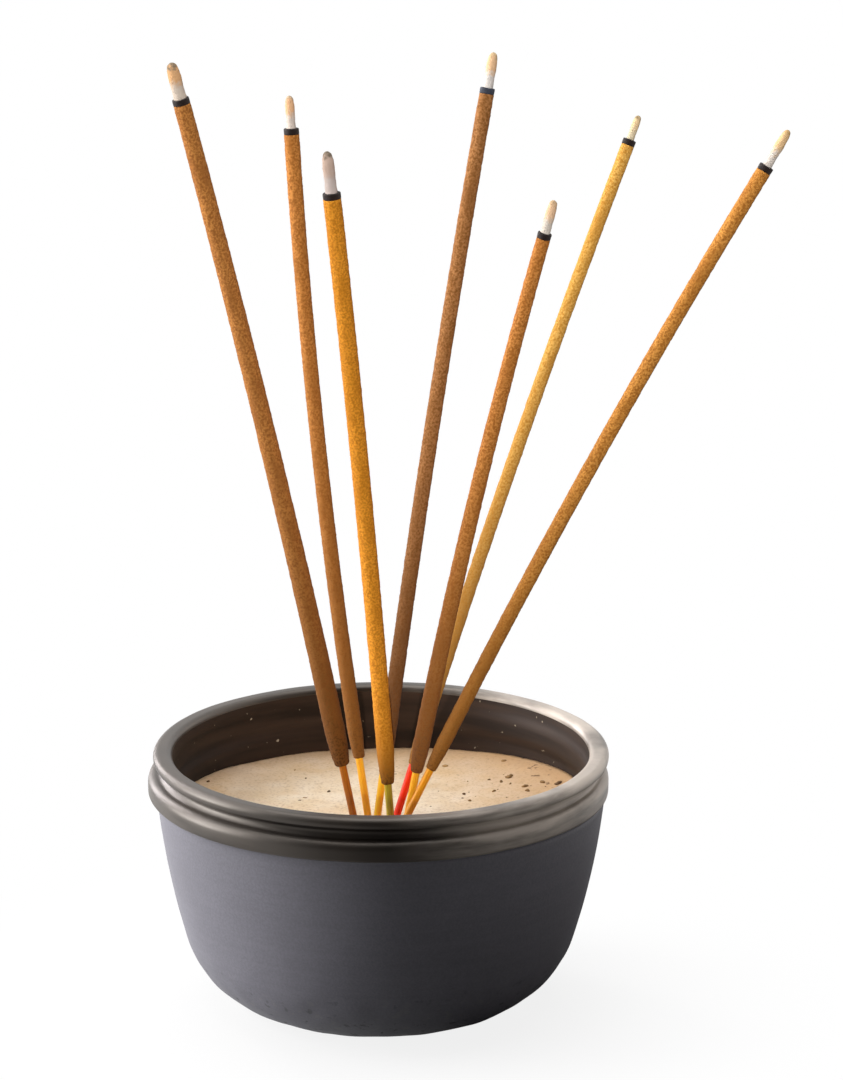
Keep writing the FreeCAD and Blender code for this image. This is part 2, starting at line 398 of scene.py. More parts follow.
bowl_mesh = bmesh.new()
slip_outline = draw_outline(bowl_mesh, (0, foot_recess), outside, row=0.9 * mm)
glaze_outline = draw_outline(bowl_mesh, shoulder, rim, row=0.5 * mm)
smoked_outline = draw_outline(bowl_mesh, (mouth_radius, lip_height), inside, row=0.9 * mm)
spin_round(bowl_mesh, slip_outline, bowl_steps)
spin_round(bowl_mesh, glaze_outline, bowl_steps, material_index=1)
spin_round(bowl_mesh, smoked_outline, bowl_steps, material_index=2)
close_up(bowl_mesh)
bowl_mesh.normal_update()
for vert in bowl_mesh.verts:
    if vert.co.z > flat_foot:
        wear = 1 - ease(vert.co.z, 8 * mm, 20 * mm)
        wave = noise.noise(vert.co * every(wave_width)) * wave_depth
        knock = noise.noise(vert.co * every(knock_width)) * (knock_depth + worn_depth * wear)
        vert.co += vert.normal * (wave + knock)
    vert.co = set_rim(vert.co)
bowl = finished_piece("bowl_stoneware", bowl_mesh, slip, glaze, smoked)
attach(bowl, "burner")
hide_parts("bowl")

# %% [markdown]
# ## The sticks, as measured
# Each stick is a bamboo splint with incense paste rolled on it, burnt down from the top. Its row says
# where the splint enters the ash, how far it leans and towards which side, how much its coated length
# sags, and the sizes of its bare splint, paste and ash tip. A point along a stick is found by walking up
# its straight foot and then round the arc of its sag, so a straight piece can be bent and stood up.

# %% Sticks and their centre lines
def stick(x, y, lean, heading, sag, bare, paste, full_width, end_width, tip, tip_width):
    """A stick's measures, from millimetres and degrees to metres and radians."""
    return dict(x=x * mm, y=y * mm, lean=math.radians(lean), heading=math.radians(heading), sag=sag * mm,
                bare=bare * mm, paste=paste * mm, full_width=full_width * mm, end_width=end_width * mm,
                tip=tip * mm, tip_width=tip_width * mm)


# In the order that stick names: x, y, lean, heading, sag, bare, paste, widths and tip.
sticks = [
    stick(-5.1, -4.5, 11.9, 201.4, 0.8, 11.8, 138.1, 4.1, 3.3, 7.1, 2.6),
    stick(-2.3, -3.5, 10.0, 146.0, -1.6, 12.1, 125.2, 3.0, 3.0, 6.4, 1.9),
    stick(2.5, -13.3, 4.5, 204.2, 0.5, 10.3, 118.4, 3.4, 3.5, 8.1, 2.4),
    stick(-0.5, -6.2, 9.5, 38.6, 0.9, 10.8, 135.1, 3.1, 2.9, 7.0, 2.1),
    stick(5.2, -10.5, 10.8, -16.4, 1.1, 12.1, 111.5, 3.3, 2.7, 6.6, 2.0),
    stick(2.9, -8.9, 19.6, 27.5, 1.1, 12.7, 129.5, 2.6, 2.6, 5.0, 1.6),
    stick(3.5, -15.9, 26.2, 6.8, 1.4, 15.2, 134.2, 2.8, 2.9, 8.0, 1.9),
]
ash_level = 39.26 * mm
splint_bedding = 26 * mm
splint_radius = 0.75 * mm
straight_foot = 3 * mm
paste_taper = 8 * mm
paste_foot_share = 0.72
band_height = 1.2 * mm


def station(one, distance):
    """The place and direction of a stick's centre line at a distance above the ash."""
    straight = one["bare"] + straight_foot
    bent = one["paste"] - straight_foot
    radius = bent ** 2 / (8 * one["sag"])
    turn = min(max(distance - straight, 0), bent) / radius
    beyond = max(distance - straight - bent, 0)
    aside = radius * (1 - math.cos(turn)) + beyond * math.sin(turn)
    along = min(distance, straight) + radius * math.sin(turn) + beyond * math.cos(turn)
    return (Matrix.Translation((one["x"], one["y"], ash_level))
            @ Matrix.Rotation(one["heading"], 4, "Z") @ Matrix.Rotation(one["lean"], 4, "Y")
            @ Matrix.Translation((aside, 0, along)) @ Matrix.Rotation(turn, 4, "Y"))


for number, one in enumerate(sticks, start=1):
    end = station(one, one["bare"] + one["paste"]).translation
    print("stick", number, "burns", round(end.z / mm), "mm above the table")

# %% [markdown]
# ## The ash's finish
# Burnt incense and charcoal leave a fine, warm-white ash. Its surface is floury and fully matte, with a fine
# grain, faint tan patches and small specks of char, and its border at the wall is browner, partly older ash
# and partly painted shade from the wall. A photograph of ash could be laid on it, but noises at real sizes,
# one over the other, need no picture and never repeat.

# %% Sifted ash
def sifted_ash():
    """Loose mineral powder: fully matte and pale, with specks of char."""
    material, tree, shader = new_finish("sifted_ash")
    place = add(tree, "TexCoord").outputs["Object"]
    drift = add(tree, "TexNoise", {"Scale": every(7 * mm), "Detail": 4.0}, {"Vector": place})
    patch = add(tree, "MapRange", {"From Min": 0.3, "From Max": 0.7}, {"Value": drift.outputs["Fac"]})
    flour = add(tree, "Mix", {6: linear("#ecd2ac"), 7: linear("#fbecd6")}, {0: patch.outputs["Result"]},
                data_type="RGBA")
    # Towards the wall the ash is browner: partly older ash, partly painted shade from the wall.
    flat = add(tree, "Mapping", {"Location": (6 * mm, 0, 0), "Scale": (1, 1, 0)}, {"Vector": place})
    reach = add(tree, "VectorMath", links={0: flat.outputs["Vector"]}, operation="LENGTH")
    age_and_wall_shade = add(tree, "MapRange", {"From Min": 14 * mm, "From Max": 44 * mm, "To Max": 0.85},
                {"Value": reach.outputs["Value"]})
    aged_and_shaded = add(tree, "Mix", {7: linear("#bd9264")}, {0: age_and_wall_shade.outputs["Result"], 6: flour.outputs[2]},
               data_type="RGBA")
    grain = add(tree, "TexNoise", {"Scale": every(0.6 * mm), "Detail": 3.0}, {"Vector": place})
    grit = add(tree, "MapRange", {"From Min": 0.5, "From Max": 0.75, "To Max": 0.45},
               {"Value": grain.outputs["Fac"]})
    gritty = add(tree, "Mix", {7: linear("#a98560")}, {0: grit.outputs["Result"], 6: aged_and_shaded.outputs[2]},
                 data_type="RGBA")
    # Char specks lie thickest on the right, where the sticks' ash falls.
    side = add(tree, "SeparateXYZ", links={"Vector": place}).outputs["X"]
    rightness = add(tree, "MapRange",
                    {"From Min": -5 * mm, "From Max": 35 * mm, "To Min": 0.74, "To Max": 0.66},
                    {"Value": side})
    speck = add(tree, "TexNoise", {"Scale": every(2.1 * mm), "Detail": 2.0}, {"Vector": place})
    over = add(tree, "Math", links={0: speck.outputs["Fac"], 1: rightness.outputs["Result"]},
               operation="SUBTRACT")
    charred = add(tree, "MapRange", {"From Max": 0.05, "To Max": 0.75}, {"Value": over.outputs["Value"]})
    colour = add(tree, "Mix", {7: linear("#5a4028")}, {0: charred.outputs["Result"], 6: gritty.outputs[2]},
                 data_type="RGBA")
    bump = add(tree, "Bump", {"Strength": 0.6, "Distance": 0.15 * mm}, {"Height": grain.outputs["Fac"]})
    tree.links.new(colour.outputs[2], shader.inputs["Base Color"])
    tree.links.new(bump.outputs["Normal"], shader.inputs["Normal"])
    shader.inputs["Roughness"].default_value = 0.95
    shader.inputs["Specular IOR Level"].default_value = 0.15
    return material


ash_finish = sifted_ash()
print("finish:", ash_finish.name)

# %% [markdown]
# ## The bed of ash
# The ash was sifted in and tamped flat, and lies higher at the wall on the right. The bed is turned like
# the bowl, in close rows, and its top is then lifted and dented by a noise. The splints' holes could be
# left open while the top is built, but it is simpler to cut them afterwards with a Boolean, a cylinder
# along each splint, and they stay open when a stick is drawn.

# %% Make the ash bed
ash_edge = 41.1 * mm
ash_steps = 240
hole_radius = splint_radius + 0.1 * mm


def ash_surface(x, y):
    """Height of the ash at a place: low behind, and banked up against the wall on the right."""
    share = math.hypot(x, y) / ash_edge
    angle = math.atan2(y, x)
    bank = 1.3 + 0.95 * math.cos(angle) - 0.4 * math.sin(angle) + 0.95 * math.cos(2 * angle)
    soft = noise.noise(Vector((x, y, 0)) * every(11 * mm)) * (0.45 - 0.3 * share) * mm
    fine = noise.noise(Vector((x, y, 0.01)) * every(2.2 * mm)) * 0.1 * mm
    return ash_level + bank * share ** 3 * mm + soft + fine


def splint_holes():
    """Seven cylinders along the bedded splints, as one cutter."""
    bm = bmesh.new()
    for one in sticks:
        depth = splint_bedding + one["bare"]
        middle = station(one, depth / 2 - splint_bedding)
        bmesh.ops.create_cone(bm, cap_ends=True, segments=24, radius1=hole_radius, radius2=hole_radius,
                              depth=depth, matrix=middle)
    return finished_piece("splint_holes", bm)


ash_outline = [
    (floor_edge, floor_height, 0),
    (*wall_low, belly_turn),
    (ash_edge, ash_level, 10.5),
    (0, ash_level, 0),
]
ash_mesh = bmesh.new()
spin_round(ash_mesh, draw_outline(ash_mesh, (0, floor_height), ash_outline, row=0.7 * mm), ash_steps)
close_up(ash_mesh)
for vert in ash_mesh.verts:
    if vert.co.z > ash_level - 0.01 * mm:
        vert.co.z = ash_surface(vert.co.x, vert.co.y)
    vert.co = set_rim(vert.co)
ash = finished_piece("ash_bed_sifted", ash_mesh, ash_finish)
cutter = splint_holes()
ash.modifiers.new("splint holes", "BOOLEAN").object = cutter
ash.data = bpy.data.meshes.new_from_object(ash.evaluated_get(bpy.context.evaluated_depsgraph_get()))
ash.modifiers.clear()
bpy.data.objects.remove(cutter)
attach(ash, "burner")
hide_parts("ash_bed")
print("ash faces after the holes are cut:", len(ash.data.polygons))

# %% [markdown]
# ## Crumbs on the ash
# Dark crumbs of unburnt incense lie on the ash, a few on the left and many on the right. They could be
# painted, but geometry is better, because crumbs catch light and throw small shadows. Each is a tiny
# ball, half sunk in the ash at its own place, and squashed, turned and dented at random. The seed is
# also set for the noise that dents them, which would otherwise start anew in each run.

# %% Scatter the crumbs
wall_clear = 2 * mm
crumb_grain = 0.6 * mm
crumb_dent = 0.2 * mm


def charred_crumb():
    """Half-burnt paste: matte dark brown, uneven from crumb to crumb."""
    material, tree, shader = new_finish("charred_crumb")
    place = add(tree, "TexCoord").outputs["Object"]
    burn = add(tree, "TexNoise", {"Scale": every(3 * mm), "Detail": 2.0}, {"Vector": place})
    span = add(tree, "MapRange", {"From Min": 0.35, "From Max": 0.65}, {"Value": burn.outputs["Fac"]})
    colour = add(tree, "Mix", {6: linear("#5e4226"), 7: linear("#ac8654")}, {0: span.outputs["Result"]},
                 data_type="RGBA")
    tree.links.new(colour.outputs[2], shader.inputs["Base Color"])
    shader.inputs["Roughness"].default_value = 0.9
    return material


def scatter(name, material, count, middle, spread, sizes, seed):
    """Crumbs strewn round a middle point of the ash, as one piece."""
    dice = random.Random(seed)
    noise.seed_set(seed)
    bm = bmesh.new()
    while count:
        x, y = (dice.gauss(m, s) for m, s in zip(middle, spread))
        if math.hypot(x, y) < ash_edge - wall_clear:
            size = dice.uniform(*sizes)
            place = Matrix.Translation(set_rim(Vector((x, y, ash_surface(x, y)))))
            turned = Matrix.Rotation(dice.uniform(0, math.tau), 4, "Z")
            squashed = Matrix.Diagonal((1.0, dice.uniform(0.5, 0.9), dice.uniform(0.35, 0.6), 1.0))
            bmesh.ops.create_icosphere(bm, subdivisions=2, radius=size, matrix=place @ turned @ squashed)
            count -= 1
    for vert in bm.verts:
        vert.co += noise.noise_vector(vert.co * every(crumb_grain)) * crumb_dent
    piece = finished_piece(name, bm, material)
    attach(piece, "burner")
    return piece


crumb = charred_crumb()
scatter("crumbs_right", crumb, 26, (28 * mm, 9 * mm), (7 * mm, 9 * mm), (0.3 * mm, 0.8 * mm), seed=5)
scatter("crumbs_left", crumb, 6, (-21 * mm, 8 * mm), (8 * mm, 7 * mm), (0.3 * mm, 0.6 * mm), seed=8)
scatter("crumbs_strewn", crumb, 16, (8 * mm, 0), (20 * mm, 16 * mm), (0.15 * mm, 0.35 * mm), seed=11)

# %% [markdown]
# ## Straight pieces that are bent and stood up
# Splint, paste, band and ash tip are all round, so each is turned straight and upright along the Z
# axis, in distances above the ash. Its straight shape is kept in an attribute called straight, so that
# fibres and grit follow the stick wherever it leans. Only then is each vertex moved to its station on
# the stick's centre line.

# %% Turn, roughen and stand a stick piece
def turn_straight(outline, row, steps):
    """A straight round piece from an outline of radii and distances, in rows about so long."""
    bm = bmesh.new()
    start, *stretches = outline
    spin_round(bm, draw_outline(bm, start, stretches, row), steps)
    close_up(bm)
    return bm


def roughen(bm, inner, size, depth, seed):
    """Raise and dent the surface outside a radius, by a noise of that grain size and depth."""
    bm.normal_update()
    lump_size = 3.2 * size
    shift = Vector((0, 0, seed * 20 * mm))
    for vert in bm.verts:
        if math.hypot(vert.co.x, vert.co.y) > inner:
            coarse = noise.noise((vert.co + shift) * every(lump_size))
            fine = noise.noise((vert.co - shift) * every(size))
            vert.co += vert.normal * (0.6 * coarse + 0.8 * fine) * depth


def stand_up(bm, one):
    """Keep the straight shape in an attribute, then bend the piece along its stick."""
    straight = bm.verts.layers.float_vector.new("straight")
    for vert in bm.verts:
        vert[straight] = vert.co
        vert.co = station(one, vert.co.z) @ Vector((vert.co.x, vert.co.y, 0))


print("the seven sticks share", splint_radius * 2 / mm, "mm splints")

# %% [markdown]
# ## Dyed bamboo
# The splints are split bamboo, dipped in bright dye before the paste was rolled on. Bamboo shows long
# fibres, lighter and darker, and a slight gloss, and a little light passes through so thin a splint. A wave
# texture would draw even stripes, so a noise is stretched along the straight stick instead, and its
# streaks become fibres.

# %% Splints
def dyed_bamboo(name, pale, deep):
    """Split bamboo under dye: long fibres with a dull polish."""
    material, tree, shader = new_finish("dyed_bamboo_" + name)
    along = add(tree, "Attribute", attribute_name="straight").outputs["Vector"]
    stretch = add(tree, "Mapping", {"Scale": (every(0.3 * mm), every(0.3 * mm), every(9 * mm))},
                  {"Vector": along})
    fibre = add(tree, "TexNoise", {"Scale": 1.0, "Detail": 3.0}, {"Vector": stretch.outputs["Vector"]})
    streak = add(tree, "MapRange", {"From Min": 0.3, "From Max": 0.7}, {"Value": fibre.outputs["Fac"]})
    colour = add(tree, "Mix", {6: linear(deep), 7: linear(pale)}, {0: streak.outputs["Result"]},
                 data_type="RGBA")
    bump = add(tree, "Bump", {"Strength": 0.4, "Distance": 0.05 * mm}, {"Height": fibre.outputs["Fac"]})
    tree.links.new(colour.outputs[2], shader.inputs["Base Color"])
    tree.links.new(bump.outputs["Normal"], shader.inputs["Normal"])
    shader.inputs["Roughness"].default_value = 0.5
    shader.inputs["Subsurface Weight"].default_value = 0.4
    shader.inputs["Subsurface Radius"].default_value = (1.0, 0.8, 0.3)
    shader.inputs["Subsurface Scale"].default_value = 1.2 * mm
    return material


# Name, pale fibre and deep fibre of each dye.
bamboo_dyes = [
    ("brown", "#c0700e", "#955208"),
    ("golden", "#ffc23c", "#e69c1c"),
    ("olive", "#c4a82c", "#988a1e"),
    ("orange", "#ffcc30", "#ffb012"),
    ("yellow", "#ffbe2a", "#f09a12"),
    ("red", "#ff3c10", "#e4240a"),
    ("amber", "#f4a61e", "#d4840c"),
]
for number, (one, dye) in enumerate(zip(sticks, bamboo_dyes), start=1):
    burn_line = one["bare"] + one["paste"]
    outline = [(0, -splint_bedding), (splint_radius, -splint_bedding, 0),
               (splint_radius, burn_line + band_height, 0), (0, burn_line + band_height, 0)]
    splint = turn_straight(outline, row=2 * mm, steps=24)
    roughen(splint, inner=0.5 * splint_radius, size=0.5 * mm, depth=0.02 * mm, seed=number)
    stand_up(splint, one)
    piece = finished_piece("stick_%d_splint" % number, splint, dyed_bamboo(*dye))
    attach(piece, "stick_%d" % number)
    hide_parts("stick_%d_bamboo_core" % number)

# %% [markdown]
# ## Incense paste
# The paste is wood powder, resin and spices, rolled on wet and dried. It is a dry, matte crust of fine
# grains, each stick in its own brown or gold, and darker towards the foot. The colour changes from
# grain to grain. Real grit is finer than the picture can show, so it is drawn about 0.4 mm wide, and the
# relief in the mesh uses the same size.

# %% Finish of the paste
paste_grain = 0.42 * mm


def incense_paste(name, pale, deep, foot, low, reach):
    """Dried paste of powdered wood: matte grains, pale and dark, darker towards the foot."""
    material, tree, shader = new_finish("incense_paste_" + name)
    along = add(tree, "Attribute", attribute_name="straight").outputs["Vector"]
    grains = add(tree, "TexNoise", {"Scale": every(paste_grain), "Detail": 1.0}, {"Vector": along})
    spread = add(tree, "MapRange", {"From Min": 0.36, "From Max": 0.64}, {"Value": grains.outputs["Fac"]})
    grainy = add(tree, "Mix", {6: linear(deep), 7: linear(pale)}, {0: spread.outputs["Result"]},
                 data_type="RGBA")
    stretch = add(tree, "Mapping", {"Scale": (every(2.5 * mm), every(2.5 * mm), every(8 * mm))},
                  {"Vector": along})
    patches = add(tree, "TexNoise", {"Scale": 1.0, "Detail": 3.0}, {"Vector": stretch.outputs["Vector"]})
    patchy = add(tree, "MapRange", {"From Min": 0.45, "From Max": 0.7, "To Max": 0.6},
                 {"Value": patches.outputs["Fac"]})
    uneven = add(tree, "Mix", {7: linear(deep)}, {0: patchy.outputs["Result"], 6: grainy.outputs[2]},
                 data_type="RGBA")
    # The darkening is nearly full at the blunt end and thins out upwards, grain by grain.
    height = add(tree, "SeparateXYZ", links={"Vector": along}).outputs["Z"]
    darker_below = add(tree, "MapRange", {"From Min": low + reach, "From Max": low, "To Max": 0.85},
                 {"Value": height})
    speckled = add(tree, "Math", {1: 0.35}, {0: spread.outputs["Result"], 2: darker_below.outputs["Result"]},
                   operation="MULTIPLY_ADD")
    darkened = add(tree, "Math", links={0: speckled.outputs["Value"], 1: darker_below.outputs["Result"]},
                   operation="MULTIPLY")
    colour = add(tree, "Mix", {7: linear(foot)}, {0: darkened.outputs["Value"], 6: uneven.outputs[2]},
                 data_type="RGBA")
    bump = add(tree, "Bump", {"Strength": 0.7, "Distance": 0.1 * mm}, {"Height": grains.outputs["Fac"]})
    tree.links.new(colour.outputs[2], shader.inputs["Base Color"])
    tree.links.new(bump.outputs["Normal"], shader.inputs["Normal"])
    shader.inputs["Roughness"].default_value = 0.85
    shader.inputs["Specular IOR Level"].default_value = 0.2
    return material


print("paste grains are", paste_grain / mm, "mm wide")

# %% [markdown]
# ## Rolling the paste on
# On the real stick the wet paste is rolled round the splint, so it is a sleeve: thinner at its foot,
# where it ends bluntly, and a little tapered up to the burn line. It could be one cylinder with a bump
# in its finish, but turned from an outline, with its grains as relief, its edge is crumbly too.

# %% Paste
bore = splint_radius + 0.05 * mm
# Name, pale grain, deep grain and foot of each paste, and how far up the darkening reaches in mm.
pastes = [
    ("brown", "#c08040", "#925a2a", "#46290f", 95),
    ("golden_brown", "#d08a44", "#9c6028", "#6c451f", 140),
    ("ochre", "#e4962e", "#b8721c", "#4e3216", 20),
    ("dark_brown", "#b67e4c", "#86562a", "#4c3220", 98),
    ("orange_brown", "#d28c46", "#a26228", "#684326", 85),
    ("bright_gold", "#eeba60", "#c68a36", "#8e5e30", 115),
    ("rust_gold", "#dc9848", "#a86a2a", "#6c441c", 88),
]
foot_bevel = 0.15 * mm
for number, (one, look) in enumerate(zip(sticks, pastes), start=1):
    name, pale, deep, foot, darkening = look
    low = one["bare"]
    burn_line = low + one["paste"]
    wide = one["full_width"] / 2
    foot_wide = wide * paste_foot_share
    outline = [(splint_radius, low), (foot_wide - foot_bevel, low, 0), (foot_wide, low + foot_bevel, 0),
               (wide, low + paste_taper, 8), (one["end_width"] / 2, burn_line, 0),
               (splint_radius, burn_line, 0), (splint_radius, low, 0, 6 * mm)]
    coat = turn_straight(outline, row=0.34 * mm, steps=40)
    roughen(coat, inner=bore, size=paste_grain, depth=0.09 * mm, seed=number)
    stand_up(coat, one)
    paste = incense_paste(name, pale, deep, foot, low, darkening * mm)
    piece = finished_piece("stick_%d_paste" % number, coat, paste)
    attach(piece, "stick_%d" % number)
    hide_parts("stick_%d_incense_coat" % number)

# %% [markdown]
# ## Char and burnt ash
# Where a stick stopped burning, a thin black band of charred paste is left, and above it a finger of ash
# still holds the stick's shape: near white at the band, where it burnt hottest, tan further up and
# darker at its end. A picture could be wrapped round each tip. Here the height along the straight stick
# picks the colour, and a noise makes the borders between the colours ragged.

# %% Finishes of the burnt end
def charred_paste(name, dark, pale):
    """Paste turned to charcoal: black and matte, with greyer grains."""
    material, tree, shader = new_finish("charred_paste_" + name)
    along = add(tree, "Attribute", attribute_name="straight").outputs["Vector"]
    grains = add(tree, "TexNoise", {"Scale": every(0.5 * mm), "Detail": 1.0}, {"Vector": along})
    colour = add(tree, "Mix", {6: linear(dark), 7: linear(pale)}, {0: grains.outputs["Fac"]},
                 data_type="RGBA")
    bump = add(tree, "Bump", {"Strength": 0.5, "Distance": 0.08 * mm}, {"Height": grains.outputs["Fac"]})
    tree.links.new(colour.outputs[2], shader.inputs["Base Color"])
    tree.links.new(bump.outputs["Normal"], shader.inputs["Normal"])
    shader.inputs["Roughness"].default_value = 0.8
    return material


def burnt_ash(name, low, high, white, tan, end):
    """Ash that kept its shape: matte, white at the band, tan above and dark at its end."""
    material, tree, shader = new_finish("burnt_ash_" + name)
    along = add(tree, "Attribute", attribute_name="straight").outputs["Vector"]
    flakes = add(tree, "TexNoise", {"Scale": every(0.7 * mm), "Detail": 1.0}, {"Vector": along})
    height = add(tree, "SeparateXYZ", links={"Vector": along}).outputs["Z"]
    share = add(tree, "MapRange", {"From Min": low, "From Max": high}, {"Value": height})
    jitter = add(tree, "MapRange", {"To Min": -0.2, "To Max": 0.2}, {"Value": flakes.outputs["Fac"]})
    ragged = add(tree, "Math", links={0: share.outputs["Result"], 1: jitter.outputs["Result"]},
                 operation="ADD")
    to_tan = add(tree, "MapRange", {"From Min": 0.3, "From Max": 0.55}, {"Value": ragged.outputs["Value"]})
    to_end = add(tree, "MapRange", {"From Min": 0.8, "From Max": 0.95}, {"Value": ragged.outputs["Value"]})
    body = add(tree, "Mix", {6: linear(white), 7: linear(tan)}, {0: to_tan.outputs["Result"]},
               data_type="RGBA")
    colour = add(tree, "Mix", {7: linear(end)}, {0: to_end.outputs["Result"], 6: body.outputs[2]},
                 data_type="RGBA")
    bump = add(tree, "Bump", {"Strength": 0.6, "Distance": 0.12 * mm}, {"Height": flakes.outputs["Fac"]})
    tree.links.new(colour.outputs[2], shader.inputs["Base Color"])
    tree.links.new(bump.outputs["Normal"], shader.inputs["Normal"])
    shader.inputs["Roughness"].default_value = 0.95
    shader.inputs["Specular IOR Level"].default_value = 0.15
    return material


black_band = charred_paste("black", "#0e0908", "#2a1c17")
grey_band = charred_paste("grey", "#22242d", "#454854")
print("finishes:", black_band.name, grey_band.name)

# %% [markdown]
# ## Charred band and ash tip
# The band is a short ring with rounded edges round the splint. The tip is a finger that swells and
# narrows as the ash shrinks, and ends round. Both are turned straight, roughened by a noise, so that they
# look crumbly, and stood up like the paste.

# %% Bands and tips
grey_stick = 4
# Stick, white at the band, tan above and end of each tip.
tip_ashes = [
    ("1", "#ccbcac", "#d9a878", "#8a7862"),
    ("2", "#d6c8bc", "#e2b287", "#bfa78a"),
    ("3", "#c6b6ae", "#c2a898", "#7c6e5e"),
    ("4", "#dad2cb", "#e2b88e", "#ccb088"),
    ("5", "#d8ccbe", "#e6be98", "#c2a480"),
    ("6", "#dac9a8", "#e8c89a", "#978462"),
    ("7", "#d6cbc0", "#e2bc8c", "#c8a472"),
]
band_round = 0.2 * mm
for number, (one, look) in enumerate(zip(sticks, tip_ashes), start=1):
    burn_line = one["bare"] + one["paste"]
    tip_foot = burn_line + band_height
    tip_end = tip_foot + one["tip"]
    band_width = one["end_width"] / 2
    outline = [(splint_radius, burn_line), (band_width - band_round, burn_line, 0),
               (band_width, burn_line + band_round, 90), (band_width, tip_foot - band_round, 0),
               (band_width - band_round, tip_foot, 90), (splint_radius, tip_foot, 0),
               (splint_radius, burn_line, 0)]
    band = turn_straight(outline, row=0.15 * mm, steps=40)
    roughen(band, inner=bore, size=0.5 * mm, depth=0.05 * mm, seed=number)
    stand_up(band, one)
    char = grey_band if number == grey_stick else black_band
    piece = finished_piece("stick_%d_charred_band" % number, band, char)
    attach(piece, "stick_%d" % number)
    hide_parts("stick_%d_char_ring" % number)

    wide = one["tip_width"] / 2
    outline = [(0, tip_foot), (wide, tip_foot, 0), (0.92 * wide, tip_foot + 0.35 * one["tip"], -6),
               (0.95 * wide, tip_foot + 0.65 * one["tip"], 6),
               (0.7 * wide, tip_foot + 0.92 * one["tip"], 14), (0, tip_end, 60)]
    tip = turn_straight(outline, row=0.2 * mm, steps=32)
    roughen(tip, inner=0.2 * wide, size=0.6 * mm, depth=0.07 * mm, seed=number)
    stand_up(tip, one)
    piece = finished_piece("stick_%d_tip" % number, tip, burnt_ash(look[0], tip_foot, tip_end, *look[1:]))
    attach(piece, "stick_%d" % number)
    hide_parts("stick_%d_ash_tip" % number)

# %% [markdown]
# ## The floor
# The object stands on a wide sheet of white paper. To the camera the paper is white, with the soft shadow
# of the bowl near its foot. The glossy rim mirrors the paper too, lit at the sides and behind and dim in
# front. Cards and flags could be set up for that. Here Light Path tells camera rays and mirror rays
# apart, so that the paper answers each with its own brightness, while the object keeps its plain light.

# %% Floor
floor_radius = 4.0
floor_mesh = bmesh.new()
bmesh.ops.create_circle(floor_mesh, cap_ends=True, segments=96, radius=floor_radius)
floor_finish, floor_tree, floor_shader = new_finish("pale_paper_floor")
floor_shader.inputs["Roughness"].default_value = 1.0
floor_shader.inputs["Specular IOR Level"].default_value = 0.0
floor_ray = add(floor_tree, "LightPath")
# The paper is white to the camera and greyer to the light that it throws back on to the bowl.
floor_colour = add(floor_tree, "Mix", {6: linear("#5c5c5c"), 7: linear("#fafafa")},
                   {0: floor_ray.outputs["Is Camera Ray"]}, data_type="RGBA")
floor_tree.links.new(floor_colour.outputs[2], floor_shader.inputs["Base Color"])
# Away from the object the camera sees plain white paper, and near it the paper with its soft shadow.
floor_place = add(floor_tree, "TexCoord").outputs["Object"]
floor_reach = add(floor_tree, "VectorMath", links={0: floor_place}, operation="LENGTH").outputs["Value"]
floor_fade = add(floor_tree, "MapRange", {"From Min": 0.03, "From Max": 0.1, "To Min": 0.85},
                 {"Value": floor_reach}, interpolation_type="SMOOTHSTEP")
floor_far = add(floor_tree, "Math",
                links={0: floor_fade.outputs["Result"], 1: floor_ray.outputs["Is Camera Ray"]},
                operation="MULTIPLY")
# Mirror images show the lit paper beside and behind the bowl, without its shade on the right.
floor_spot = add(floor_tree, "SeparateXYZ", links={"Vector": floor_place})
floor_aside = add(floor_tree, "Math", links={0: floor_spot.outputs["X"]}, operation="ABSOLUTE")
floor_round = add(floor_tree, "Math", links={0: floor_aside.outputs["Value"], 1: floor_spot.outputs["Y"]},
                  operation="ADD")
floor_behind = add(floor_tree, "MapRange", {"From Min": -0.16, "From Max": -0.04, "To Min": 0.03},
                   {"Value": floor_round.outputs["Value"]}, interpolation_type="SMOOTHSTEP")
floor_left = add(floor_tree, "MapRange", {"From Min": 0.02, "From Max": -0.05},
                 {"Value": floor_spot.outputs["X"]})
floor_clear = add(floor_tree, "MapRange", {"From Min": 0.12, "From Max": 0.17}, {"Value": floor_reach})
floor_open = add(floor_tree, "Math",
                 links={0: floor_left.outputs["Result"], 1: floor_clear.outputs["Result"]},
                 operation="MAXIMUM")
floor_lit = add(floor_tree, "Math",
                links={0: floor_open.outputs["Value"], 1: floor_behind.outputs["Result"]},
                operation="MULTIPLY")
floor_mirrored = add(floor_tree, "Math",
                     links={0: floor_lit.outputs["Value"], 1: floor_ray.outputs["Is Glossy Ray"]},
                     operation="MULTIPLY")
floor_seen = add(floor_tree, "Math",
                 links={0: floor_far.outputs["Value"], 1: floor_mirrored.outputs["Value"]},
                 operation="MAXIMUM")
floor_white = add(floor_tree, "Emission", {"Color": linear("#ffffff"), "Strength": 1.0})
floor_mix = add(floor_tree, "MixShader",
                links={0: floor_seen.outputs["Value"], 1: floor_shader.outputs["BSDF"],
                       2: floor_white.outputs["Emission"]})
floor_tree.links.new(floor_mix.outputs["Shader"], floor_tree.nodes["Material Output"].inputs["Surface"])
floor = finished_piece("studio_floor", floor_mesh, floor_finish)

# %% [markdown]
# ## The room
# Round the object lies a white studio, dark only behind the camera. The camera sees plain white, the glaze
# mirrors the white backdrop at its sides and the dark room at its front, which keeps the front of the rim
# black, and on everything else the room throws a little even light. One world does all three, again by
# the kind of ray.

# %% World
world = bpy.data.worlds.new("white_studio")
bpy.context.scene.world = world
world.use_nodes = True
sky = world.node_tree
sky.nodes.clear()
ray = add(sky, "LightPath")
